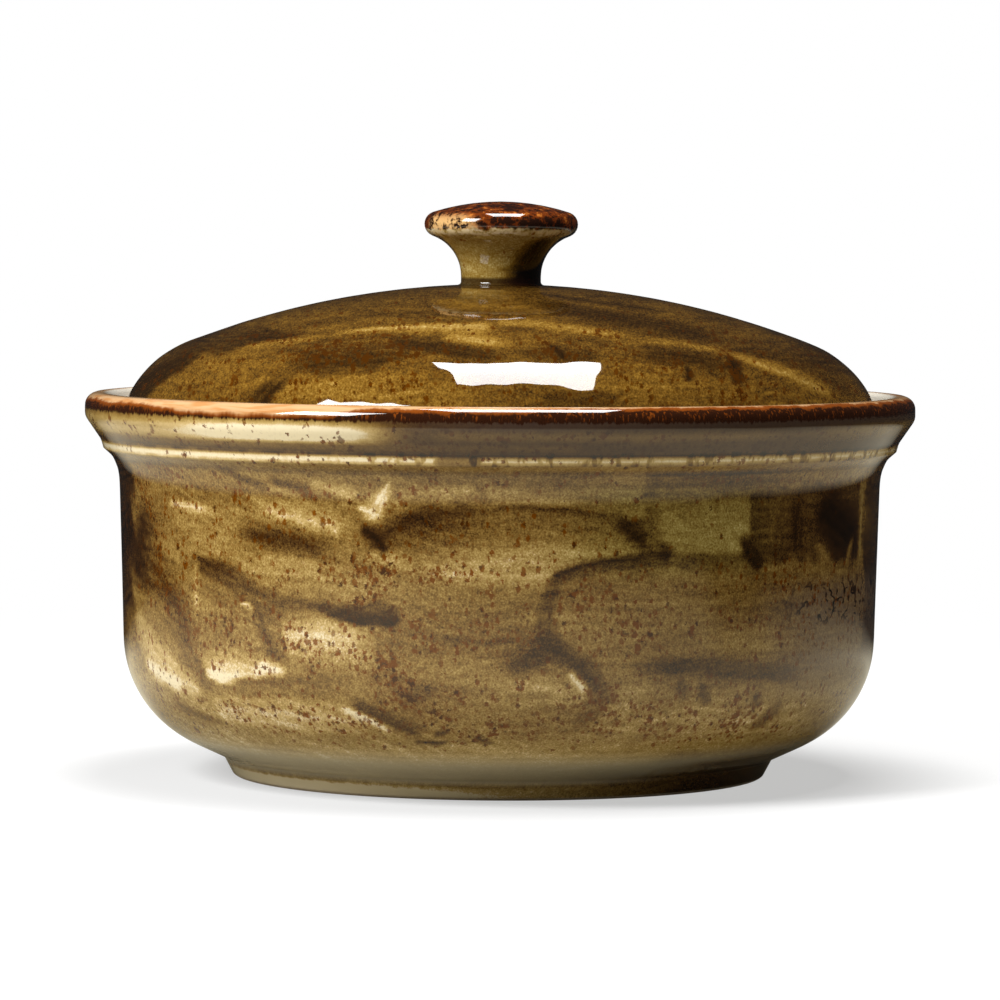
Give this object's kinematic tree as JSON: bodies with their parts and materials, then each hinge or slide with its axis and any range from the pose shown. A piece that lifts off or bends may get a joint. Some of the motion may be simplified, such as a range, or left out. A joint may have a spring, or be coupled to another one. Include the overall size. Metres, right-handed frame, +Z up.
{
  "type": "casserole dish",
  "caption": "Round stoneware casserole dish with a moulded, galleried rim and a foot ring, and a domed lid with a mushroom knob that lifts out of the gallery.",
  "frame": {"origin": "centre of the foot ring, on the surface that the dish stands on", "axes": "+Z up along the axis that every piece is turned about; the picture looks along +Y, with +X to the right"},
  "size_m": [0.216, 0.216, 0.1491],
  "materials": {
    "dish_glaze": "glossy brushed reactive glaze, khaki and olive with rust specks, cream inside, bare foot ring",
    "lid_glaze": "glossy brushed reactive glaze, olive-gold with rust specks, cream underneath",
    "knob_glaze": "glossy reactive glaze, burnt orange breaking to brown and cream on the cap, olive-gold neck"
  },
  "bodies": {
    "dish": {"dish": "dish_glaze"},
    "lid": {"lid": "lid_glaze", "knob": "knob_glaze"}
  },
  "joints": [
    {"name": "lid_lift", "type": "slide", "parent": "dish", "child": "lid", "axis": [0, 0, 1], "range_m": [0, 0.12]}
  ]
}
